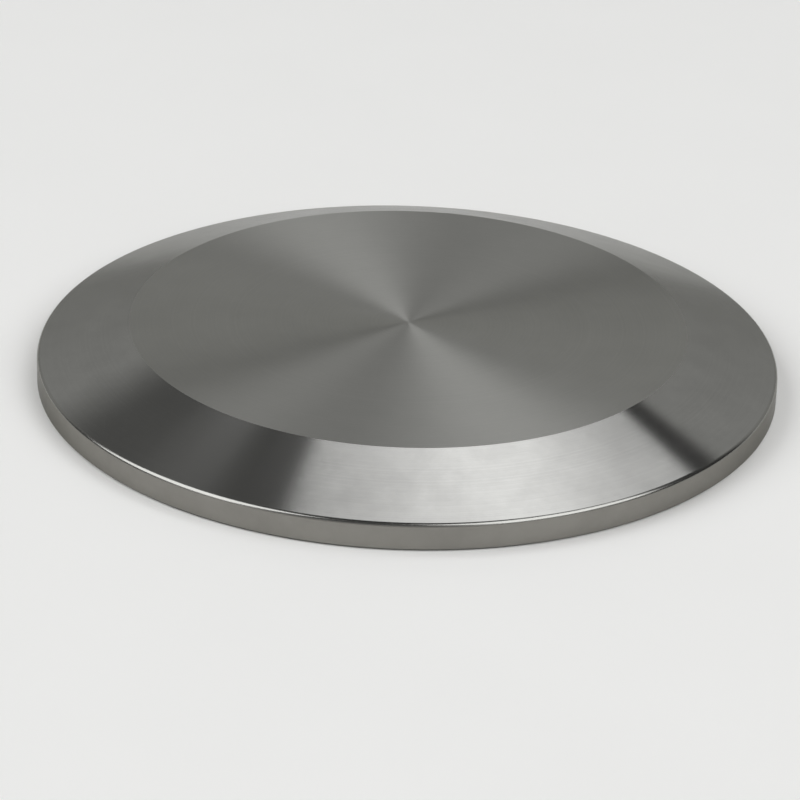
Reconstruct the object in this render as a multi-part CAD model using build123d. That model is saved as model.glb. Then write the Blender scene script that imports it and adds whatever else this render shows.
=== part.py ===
"""Solid end cap for a hygienic clamp joint, 2.5 inch line size, turned from one piece of stainless bar.

The cap closes a pipe that ends in a clamp ferrule. Its under face seals on a gasket whose bead sits in
the ring groove, and its upper side is a flat crown with a taper round it. A hinged ring clamp bears on
the taper and on the matching taper of the ferrule, and draws the two together.

Frame: millimetres, +Z up along the turning axis, origin at the centre of the sealing face, so that the
cap lies on its sealing face with the crown uppermost.
"""
from build123d import *
import os
from math import radians, tan

# --- sizes that can be set by themselves -------------------------------------------------------------
flange_diameter = 77.5       # outside of the rim, the size that names the clamp
edge_thickness = 2.85        # sealing face to where the taper would meet the rim, with no rounding
overall_thickness = 6.35     # sealing face to the crown: quarter-inch plate
taper_angle = 20.0           # slope of the clamping taper below the crown, in degrees

groove_setback = 3.5         # outside of the rim to the middle of the gasket groove
groove_width = 4.3           # across the mouth of the groove, before its lips are eased
groove_depth = 1.6           # sealing face to the deepest point of the groove

groove_lip_radius = 0.3      # easing of both lips, so that they don't cut the gasket
rim_top_radius = 0.5         # rounding between the rim and the taper
rim_bottom_chamfer = 0.25    # 45 degree edge break between the sealing face and the rim

# --- sizes that follow -------------------------------------------------------------------------------
rim_radius = flange_diameter / 2
groove_radius = rim_radius - groove_setback
crown_radius = rim_radius - (overall_thickness - edge_thickness) / tan(radians(taper_angle))

# Corners of the half section, as (distance from the axis, height above the sealing face).
face_centre = (0, 0)
groove_inner_lip = (groove_radius - groove_width / 2, 0)
groove_floor = (groove_radius, groove_depth)
groove_outer_lip = (groove_radius + groove_width / 2, 0)
rim_bottom = (rim_radius, 0)
rim_top = (rim_radius, edge_thickness)
crown_edge = (crown_radius, overall_thickness)
crown_centre = (0, overall_thickness)


def half_section():
    """What the lathe tool follows: the sealing face with its groove, the rim, the taper and the crown."""
    with BuildSketch(Plane.XZ) as section:
        with BuildLine():
            Line(face_centre, groove_inner_lip)
            ThreePointArc(groove_inner_lip, groove_floor, groove_outer_lip)
            Polyline(groove_outer_lip, rim_bottom, rim_top, crown_edge, crown_centre, face_centre)
        make_face()
        for lip in (groove_inner_lip, groove_outer_lip):
            fillet(corner_of(section, lip), groove_lip_radius)
        fillet(corner_of(section, rim_top), rim_top_radius)
        chamfer(corner_of(section, rim_bottom), rim_bottom_chamfer)
    return section.sketch


def corner_of(section, place):
    """The corner of a section that lies at a place."""
    return section.vertices().sort_by_distance(place)[0]


def end_cap():
    """The one piece: its half section turned about the axis."""
    with BuildPart() as cap:
        add(half_section())
        revolve(axis=Axis.Z)
    return cap.part


if __name__ == "__main__":
    os.makedirs("parts", exist_ok=True)
    export_step(end_cap(), "parts/end_cap.step")
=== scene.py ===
"""Studio scene for the solid end cap of a hygienic clamp joint, turned from stainless bar.

The cap lies on its sealing face. Its crown is faced on a lathe, and the ring marks of the tool draw the
light into a bow tie through the centre. The taper is turned finer and shines more, and the rim is left
as the skimming cut leaves it. Lengths are metres, +Z is up along the turning axis, and the origin is at
the centre of the sealing face.
"""
from math import atan2, cos, degrees, pi, radians, sin, tan

import bpy
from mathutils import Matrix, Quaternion, Vector


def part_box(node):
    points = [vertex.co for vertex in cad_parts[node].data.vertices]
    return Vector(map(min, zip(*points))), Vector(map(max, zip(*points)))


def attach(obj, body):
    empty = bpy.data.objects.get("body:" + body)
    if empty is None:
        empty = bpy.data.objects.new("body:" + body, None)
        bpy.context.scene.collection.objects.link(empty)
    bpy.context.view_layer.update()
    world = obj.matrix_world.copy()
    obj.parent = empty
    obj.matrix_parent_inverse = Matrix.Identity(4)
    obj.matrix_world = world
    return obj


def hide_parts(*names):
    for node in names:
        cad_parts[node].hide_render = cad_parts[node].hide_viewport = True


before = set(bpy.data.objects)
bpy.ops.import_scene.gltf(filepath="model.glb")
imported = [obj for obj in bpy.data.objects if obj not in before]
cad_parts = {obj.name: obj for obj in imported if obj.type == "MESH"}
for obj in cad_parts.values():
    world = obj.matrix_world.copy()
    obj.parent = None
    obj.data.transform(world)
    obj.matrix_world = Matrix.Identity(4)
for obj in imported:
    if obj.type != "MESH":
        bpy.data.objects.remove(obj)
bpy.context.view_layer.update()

MM = 0.001

# --- sizes of the cap --------------------------------------------------------------------------------
cap_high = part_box("end_cap")[1]
RIM_RADIUS = cap_high[0]                 # outside of the rim
THICKNESS = cap_high[2]                  # sealing face to the crown
EDGE_THICKNESS = 2.85 * MM               # sealing face to where the taper would meet the rim
TAPER_ANGLE = radians(20)                # slope of the clamping taper below the crown
CROWN_RADIUS = RIM_RADIUS - (THICKNESS - EDGE_THICKNESS) / tan(TAPER_ANGLE)

GROOVE_RADIUS = RIM_RADIUS - 3.5 * MM    # middle of the gasket groove in the sealing face
GROOVE_WIDTH = 4.3 * MM
GROOVE_DEPTH = 1.6 * MM

GROOVE_LIP = 0.3 * MM                    # rounding of the groove's lips
RIM_CHAMFER = 0.25 * MM                  # edge break between the sealing face and the rim
RIM_ROUNDING = 0.5 * MM                  # radius between the rim and the taper
CROWN_ROUNDING = 0.05 * MM               # what deburring leaves on the crown's edge

HOLD = 0.02 * MM                         # from a rounding to the ring that holds the flat beside it
MERGE = 0.0002 * MM                      # points nearer than this are one
SEGMENTS = 480                           # steps round the axis
LIP_STEPS = 6                            # steps along each lip of the groove,
GROOVE_STEPS = 20                        # across the groove's floor,
RIM_STEPS = 16                           # along the rounding of the rim,
CROWN_STEPS = 4                          # and along the crown's edge
SMOOTHED = radians(15)                   # faces that meet at less than this are shaded as one


# --- the cap -----------------------------------------------------------------------------------------
def arc(centre, radius, start, end, steps):
    """Points of a half section along an arc, from one angle to another in degrees."""
    turns = [radians(start + (end - start) * step / steps) for step in range(steps + 1)]
    return [(centre[0] + radius * cos(turn), centre[1] + radius * sin(turn)) for turn in turns]


def groove_section():
    """The gasket groove from its inner lip to its outer one: an arc, with both lips eased."""
    floor_radius = ((GROOVE_WIDTH / 2) ** 2 + GROOVE_DEPTH ** 2) / (2 * GROOVE_DEPTH)
    floor_height = GROOVE_DEPTH - floor_radius
    rise = GROOVE_LIP - floor_height
    reach = ((floor_radius + GROOVE_LIP) ** 2 - rise ** 2) ** 0.5
    meeting = degrees(atan2(rise, reach))
    inner_lip = arc((GROOVE_RADIUS - reach, GROOVE_LIP), GROOVE_LIP, -90, -meeting, LIP_STEPS)
    floor = arc((GROOVE_RADIUS, floor_height), floor_radius, 180 - meeting, meeting, GROOVE_STEPS)
    outer_lip = arc((GROOVE_RADIUS + reach, GROOVE_LIP), GROOVE_LIP, 180 + meeting, 270, LIP_STEPS)
    return inner_lip + floor[1:-1] + outer_lip


def cap_section():
    """The half section that the lathe leaves, as (radius, height), from the sealing face to the crown.

    A ring close to each rounding holds the flat beside it flat, where the shading is smoothed.
    """
    slope = degrees(TAPER_ANGLE)
    rim_setback = RIM_ROUNDING * tan((pi / 2 - TAPER_ANGLE) / 2)
    rim_centre = (RIM_RADIUS - RIM_ROUNDING, EDGE_THICKNESS - rim_setback)
    crown_setback = CROWN_ROUNDING * tan(TAPER_ANGLE / 2)
    crown_centre = (CROWN_RADIUS - crown_setback, THICKNESS - CROWN_ROUNDING)
    groove = groove_section()
    rim_arc = arc(rim_centre, RIM_ROUNDING, 0, 90 - slope, RIM_STEPS)
    crown_arc = arc(crown_centre, CROWN_ROUNDING, 90 - slope, 90, CROWN_STEPS)
    along = (-HOLD * cos(TAPER_ANGLE), HOLD * sin(TAPER_ANGLE))
    section = [(groove[0][0] - HOLD, 0)] + groove + [(groove[-1][0] + HOLD, 0)]
    section += [(RIM_RADIUS - RIM_CHAMFER, 0), (RIM_RADIUS, RIM_CHAMFER)]
    section += [(RIM_RADIUS, rim_arc[0][1] - HOLD)] + rim_arc
    section += [(rim_arc[-1][0] + along[0], rim_arc[-1][1] + along[1])]
    section += [(crown_arc[0][0] - along[0], crown_arc[0][1] - along[1])] + crown_arc
    section += [(crown_arc[-1][0] - HOLD, THICKNESS)]
    return section


def turn_to(previous, point):
    """Carries the selected end face on to the next ring of the section."""
    bpy.ops.mesh.extrude_region_move(TRANSFORM_OT_translate={"value": (0, 0, point[1] - previous[1])})
    scale = point[0] / previous[0]
    bpy.ops.transform.resize(value=(scale, scale, 1), center_override=(0, 0, 0))


def make_cap():
    """The cap as one closed skin, drawn up ring by ring from the middle of the sealing face."""
    bpy.ops.object.select_all(action="DESELECT")
    section = cap_section()
    bpy.ops.mesh.primitive_circle_add(vertices=SEGMENTS, radius=section[0][0], fill_type="NGON",
                                      location=(0, 0, 0))
    cap = bpy.context.object
    cap.name = "turned_cap"
    bpy.ops.object.mode_set(mode="EDIT")
    bpy.ops.mesh.select_all(action="SELECT")
    for previous, point in zip(section, section[1:]):
        turn_to(previous, point)
    bpy.ops.mesh.select_all(action="SELECT")
    bpy.ops.mesh.remove_doubles(threshold=MERGE)
    bpy.ops.mesh.normals_make_consistent(inside=False)
    bpy.ops.object.mode_set(mode="OBJECT")
    bpy.ops.object.shade_smooth_by_angle(angle=SMOOTHED)
    return cap


# --- materials ---------------------------------------------------------------------------------------
def linear(colour):
    """An sRGB hex colour as linear RGBA."""
    parts = [int(colour[place:place + 2], 16) / 255 for place in (1, 3, 5)]
    return [part / 12.92 if part <= 0.04045 else ((part + 0.055) / 1.055) ** 2.4 for part in parts] + [1]


def add_node(tree, kind, settings=None, inputs=None):
    """Adds one node with its settings, and with its inputs as values or as links from other nodes."""
    node = tree.nodes.new(kind)
    for name, value in (settings or {}).items():
        setattr(node, name, value)
    for name, value in (inputs or {}).items():
        if isinstance(value, bpy.types.NodeSocket):
            tree.links.new(value, node.inputs[name])
        else:
            node.inputs[name].default_value = value
    return node


def turned_steel(name, colour, roughness, anisotropy, feed, mark_depth, smudging, dwell=None):
    """Stainless steel 304 as a lathe leaves it.

    The tool leaves ring marks round the axis, one for each turn of the work. They spread the light
    across the marks and hardly along them, which is what the anisotropy is for. A part that has been
    handled also has faint smudges, where the shine is softer and a little duller. dwell is the radius of
    the ring that the tool leaves where it was fed in again.
    """
    material = bpy.data.materials.new(name)
    material.use_nodes = True
    tree = material.node_tree
    shader = tree.nodes["Principled BSDF"]
    place = add_node(tree, "ShaderNodeTexCoord").outputs["Object"]
    flat = add_node(tree, "ShaderNodeVectorMath", {"operation": "MULTIPLY"}, {0: place, 1: (1, 1, 0)})
    radius = add_node(tree, "ShaderNodeVectorMath", {"operation": "LENGTH"}, {0: flat.outputs[0]})

    # Ring marks: noise along the radius alone, one mark to each feed of the tool. The real feed is about
    # 0.1 mm, which is too fine to show, so the marks are drawn up to three times as coarse.
    marks = add_node(tree, "ShaderNodeTexNoise", {"noise_dimensions": "1D"},
                     {"W": radius.outputs["Value"], "Scale": 1 / feed, "Detail": 2, "Roughness": 0.6})
    bump = add_node(tree, "ShaderNodeBump", None,
                    {"Height": marks.outputs[0], "Distance": mark_depth, "Strength": 1})
    mark_tone = add_node(tree, "ShaderNodeMapRange", None,
                         {"Value": marks.outputs[0], "From Min": 0.3, "From Max": 0.7,
                          "To Min": 0.98, "To Max": 1.02})

    # Smudges from handling, from a fingertip's width down to specks of a millimetre.
    smudges = add_node(tree, "ShaderNodeTexNoise", None,
                       {"Vector": place, "Scale": 1 / (5 * MM), "Detail": 5, "Roughness": 0.65})
    smudge_tone = add_node(tree, "ShaderNodeMapRange", None,
                           {"Value": smudges.outputs[0], "From Min": 0.35, "From Max": 0.65,
                            "To Min": 1 + smudging, "To Max": 1 - smudging})
    spread = add_node(tree, "ShaderNodeMapRange", None,
                      {"Value": smudges.outputs[0], "From Min": 0.35, "From Max": 0.65,
                       "To Min": roughness - smudging / 4, "To Max": roughness + smudging / 4})

    tone = add_node(tree, "ShaderNodeMath", {"operation": "MULTIPLY"},
                    {0: mark_tone.outputs[0], 1: smudge_tone.outputs[0]})
    if dwell:
        off_ring = add_node(tree, "ShaderNodeMath", {"operation": "SUBTRACT"},
                            {0: radius.outputs["Value"], 1: dwell})
        near_ring = add_node(tree, "ShaderNodeMath", {"operation": "ABSOLUTE"}, {0: off_ring.outputs[0]})
        ring = add_node(tree, "ShaderNodeMapRange", {"interpolation_type": "SMOOTHSTEP"},
                        {"Value": near_ring.outputs[0], "From Min": 0, "From Max": 0.25 * MM,
                         "To Min": 1.03, "To Max": 1})
        tone = add_node(tree, "ShaderNodeMath", {"operation": "MULTIPLY"},
                        {0: tone.outputs[0], 1: ring.outputs[0]})
    shade = add_node(tree, "ShaderNodeVectorMath", {"operation": "SCALE"},
                     {0: linear(colour)[:3], "Scale": tone.outputs[0]})
    tangent = add_node(tree, "ShaderNodeTangent", {"direction_type": "RADIAL", "axis": "Z"})

    tree.links.new(shade.outputs[0], shader.inputs["Base Color"])
    tree.links.new(spread.outputs[0], shader.inputs["Roughness"])
    tree.links.new(bump.outputs[0], shader.inputs["Normal"])
    tree.links.new(tangent.outputs[0], shader.inputs["Tangent"])
    shader.inputs["Metallic"].default_value = 1
    # Turned steel doesn't go as white at a glancing angle as a flat mirror does.
    shader.inputs["Specular Tint"].default_value = linear("#CBCBC9")
    # A quarter turn from the tangent round the axis, so that the light spreads across the marks.
    shader.inputs["Anisotropic"].default_value = anisotropy
    shader.inputs["Anisotropic Rotation"].default_value = 0.25
    return material


def paper_floor():
    """White seamless paper, matt, with the faint cloudiness of its pulp."""
    material = bpy.data.materials.new("seamless_paper")
    material.use_nodes = True
    tree = material.node_tree
    shader = tree.nodes["Principled BSDF"]
    place = add_node(tree, "ShaderNodeTexCoord").outputs["Object"]
    pulp = add_node(tree, "ShaderNodeTexNoise", None, {"Vector": place, "Scale": 1 / (25 * MM)})
    shade = add_node(tree, "ShaderNodeMix", {"data_type": "RGBA"},
                     {"Factor": pulp.outputs[0], "A": linear("#F4F4F3"), "B": linear("#F7F7F6")})
    tree.links.new(shade.outputs["Result"], shader.inputs["Base Color"])
    shader.inputs["Roughness"].default_value = 0.9
    shader.inputs["Specular IOR Level"].default_value = 0.1
    return material


# Faces this close to the top belong to the crown. The others go by the upward part of their normal, which
# is at least so much on the taper, on the rounding and on the rim.
LEVEL = 0.001 * MM
TAPER_FACES = 0.9
ROUNDING_FACES = 0.35
RIM_FACES = -0.1


def put_on(piece, materials, choose):
    """Gives a piece its materials, and each of its faces the one that choose() names."""
    names = list(materials)
    for name in names:
        piece.data.materials.append(materials[name])
    for face in piece.data.polygons:
        face.material_index = names.index(choose(face))


def finish_of(face):
    """Which cut made a face of the cap."""
    if face.center.z > THICKNESS - LEVEL:
        return "crown"
    if face.normal.z > TAPER_FACES:
        return "taper"
    if face.normal.z > ROUNDING_FACES:
        return "rounding"
    if face.normal.z > RIM_FACES:
        return "rim"
    return "sealing_face"


cap = make_cap()
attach(cap, "root")
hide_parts("end_cap")
put_on(cap, {
    # The crown: faced across, satin, so it shows the bow tie and no picture of the room.
    "crown": turned_steel("faced_stainless_steel", "#A6A6A3", roughness=0.35, anisotropy=0.91,
                          feed=0.25 * MM, mark_depth=0.00025 * MM, smudging=0.02, dwell=19 * MM),
    # The taper: a finer cut, as the clamp slides on it, and nearly a mirror round the axis.
    "taper": turned_steel("fine_turned_stainless_steel", "#A3A3A1", roughness=0.14, anisotropy=0.8,
                          feed=0.2 * MM, mark_depth=0.00005 * MM, smudging=0.04),
    # The rounding between taper and rim: rubbed over with fine cloth.
    "rounding": turned_steel("polished_stainless_steel", "#9B9B98", roughness=0.205, anisotropy=0.3,
                             feed=0.2 * MM, mark_depth=0.00002 * MM, smudging=0.03),
    # The rim: a plain skimming cut, a little rougher. Its colour is painted darker than the rest of the cap
    # as painted shade, standing in for the dimmer floor that it mirrors.
    "rim": turned_steel("skimmed_steel_painted_shade", "#908E89", roughness=0.3, anisotropy=0.4,
                        feed=0.2 * MM, mark_depth=0.0002 * MM, smudging=0.05),
    # The sealing face and its groove: turned smooth, so that the gasket seals and washes clean.
    "sealing_face": turned_steel("sealing_stainless_steel", "#A3A3A0", roughness=0.24, anisotropy=0.8,
                                 feed=0.2 * MM, mark_depth=0.0002 * MM, smudging=0.03),
}, finish_of)


# --- floor, camera and light -------------------------------------------------------------------------
FLOOR_SIZE = 4
FLOOR_GAP = 0.02 * MM                    # keeps the floor and the sealing face apart

CAMERA_DISTANCE = 428.4 * MM             # from the middle of the sealing face
CAMERA_ELEVATION = 25.79                 # degrees above the floor
CAMERA_AIM = Vector((-0.63, -5.6, 0)) * MM
CAMERA_LEAN = 1.863                      # degrees that the camera is turned about its own line of sight
SENSOR_WIDTH = 36                        # millimetres, and so is the lens
LENS = 183.2

LAMP_DISTANCE = 1.2                      # from the cap to every softbox
GLOW_REACH = 0.42                        # from a bulb to where the cloth is dimmest, as a share of the cloth


def direction(azimuth, elevation):
    """A unit vector: azimuth in degrees from straight behind the cap towards its right, then upwards."""
    return Vector((cos(radians(elevation)) * sin(radians(azimuth)),
                   cos(radians(elevation)) * cos(radians(azimuth)),
                   sin(radians(elevation))))


def add_floor():
    """A sheet of pale paper under the cap."""
    bpy.ops.mesh.primitive_plane_add(size=FLOOR_SIZE, location=(0, 0, 0))
    floor = bpy.context.object
    floor.name = "floor"
    bpy.ops.object.mode_set(mode="EDIT")
    bpy.ops.mesh.select_all(action="SELECT")
    bpy.ops.transform.translate(value=(0, 0, -FLOOR_GAP))
    bpy.ops.object.mode_set(mode="OBJECT")
    floor.data.materials.append(paper_floor())


def add_camera():
    """A long lens in front of the cap, looking down at it and leaning a little to one side."""
    bpy.ops.object.camera_add(location=-CAMERA_DISTANCE * direction(0, -CAMERA_ELEVATION))
    camera = bpy.context.object
    camera.name = "camera"
    look = (CAMERA_AIM - camera.location).to_track_quat("-Z", "Y")
    camera.rotation_euler = (look @ Quaternion((0, 0, 1), radians(CAMERA_LEAN))).to_euler()
    camera.data.sensor_width = SENSOR_WIDTH
    camera.data.lens = LENS
    camera.data.clip_start = 0.01
    camera.data.clip_end = 20
    bpy.context.scene.camera = camera


def add_softbox(name, azimuth, elevation, width, height, middle, edge, roll=0,
                bulb=(0.5, 0.5), shape="RECTANGLE"):
    """A softbox that faces the cap, turned about its own axis by roll degrees.

    Its cloth is brightest before the bulb, and dims towards its edges: middle and edge are radiances, and
    bulb is the bulb's place across the cloth and up it, from 0 to 1. The lamp's energy is what gives its
    emission a radiance of one.
    """
    place = direction(azimuth, elevation) * LAMP_DISTANCE
    bpy.ops.object.light_add(type="AREA", location=place)
    lamp = bpy.context.object
    lamp.name = name
    lamp.rotation_euler = (place.to_track_quat("Z", "Y") @ Quaternion((0, 0, 1), radians(roll))).to_euler()
    lamp.data.shape = shape
    lamp.data.size = width
    lamp.data.size_y = height
    lamp.data.energy = pi * width * height * (pi / 4 if shape == "ELLIPSE" else 1)
    lamp.data.use_nodes = True
    tree = lamp.data.node_tree
    cloth = add_node(tree, "ShaderNodeNewGeometry").outputs["Parametric"]
    from_bulb = add_node(tree, "ShaderNodeVectorMath", {"operation": "DISTANCE"},
                         {0: cloth, 1: (bulb[0], bulb[1], 0)})
    glow = add_node(tree, "ShaderNodeMapRange", {"interpolation_type": "SMOOTHSTEP"},
                    {"Value": from_bulb.outputs["Value"], "From Min": 0, "From Max": GLOW_REACH,
                     "To Min": middle, "To Max": edge})
    tree.links.new(glow.outputs[0], tree.nodes["Emission"].inputs["Strength"])


def add_room():
    """Grey studio walls up to a dark ceiling, with black cloth hung at both sides of the table."""
    world = bpy.data.worlds.new("studio")
    bpy.context.scene.world = world
    world.use_nodes = True
    tree = world.node_tree
    aim = add_node(tree, "ShaderNodeTexCoord").outputs["Generated"]

    # The walls, from the one that the cap's crown mirrors, past the black cloth, to the one in front.
    axes = add_node(tree, "ShaderNodeSeparateXYZ", None, {0: aim})
    depth = axes.outputs["Y"]
    along = add_node(tree, "ShaderNodeMapRange", None, {"Value": depth, "From Min": -1, "From Max": 1})
    walls = add_node(tree, "ShaderNodeValToRGB", None, {"Fac": along.outputs[0]})
    stops = ((0.0, 0.36), (0.25, 0.34), (0.4, 0.05), (0.7, 0.05), (0.8, 0.46))    # front to back, radiance
    while len(walls.color_ramp.elements) < len(stops):
        walls.color_ramp.elements.new(0.5)
    for stop, (place, level) in zip(walls.color_ramp.elements, stops):
        stop.position = place
        stop.color = (level, level, level, 1)

    # The ceiling is lighter in front, and over the back left corner, where the wall fades up into it. On
    # the right the wall reaches higher and ends in a crisp edge.
    corner = add_node(tree, "ShaderNodeVectorMath", {"operation": "DOT_PRODUCT"}, {0: aim, 1: (-1.6, 0.5, 0)})
    over_corner = add_node(tree, "ShaderNodeMapRange", None,
                           {"Value": corner.outputs["Value"], "From Min": 0.3, "From Max": 0.8,
                            "To Min": 0.04, "To Max": 0.15})
    over_front = add_node(tree, "ShaderNodeMapRange", None,
                          {"Value": depth, "From Min": -0.2, "From Max": -0.6, "To Min": 0, "To Max": 0.06})
    ceiling = add_node(tree, "ShaderNodeMath", {"operation": "ADD"},
                       {0: over_corner.outputs[0], 1: over_front.outputs[0]})
    height = add_node(tree, "ShaderNodeVectorMath", {"operation": "DOT_PRODUCT"},
                      {0: aim, 1: (-0.09, -0.08, 1)})
    side = axes.outputs["X"]
    shade_start = add_node(tree, "ShaderNodeMapRange", None,
                           {"Value": side, "From Min": -0.3, "From Max": 0.3, "To Min": 0.45, "To Max": 0.54})
    shade_end = add_node(tree, "ShaderNodeMapRange", None,
                         {"Value": side, "From Min": -0.3, "From Max": 0.3, "To Min": 0.63, "To Max": 0.57})
    above = add_node(tree, "ShaderNodeMapRange", {"interpolation_type": "SMOOTHSTEP"},
                     {"Value": height.outputs["Value"], "From Min": shade_start.outputs[0],
                      "From Max": shade_end.outputs[0]})
    level = add_node(tree, "ShaderNodeMix", {"data_type": "FLOAT"},
                     {"Factor": above.outputs[0], "A": walls.outputs["Color"], "B": ceiling.outputs[0]})
    tree.links.new(level.outputs[0], tree.nodes["Background"].inputs["Strength"])
    tree.nodes["Background"].inputs["Color"].default_value = linear("#FFFFFC")


add_floor()
add_camera()
add_room()
add_softbox("key_softbox", 20.5, 61.5, 0.875, 0.66, middle=2.26, edge=1.06, roll=33,
            bulb=(0.55, 0.5), shape="ELLIPSE")
# Light that the key softbox spills on the ceiling and the wall behind it.
add_softbox("ceiling_spill", -27, 51.5, 0.12, 0.20, middle=0.50, edge=0.16)
add_softbox("key_spill", -19, 62, 0.09, 0.20, middle=0.40, edge=0.20, roll=30)
add_softbox("wall_spill", 14, 37.5, 0.17, 0.13, middle=1.0, edge=0.8)
# Two soft lights in front of the cap, one to each side, for the rim.
add_softbox("left_softbox", -103, 42, 1.2, 1.0, middle=2.2, edge=2.2)
add_softbox("right_softbox", 126, 45, 1.15, 1.0, middle=2.2, edge=2.2)

bpy.context.scene.view_settings.view_transform = "Standard"
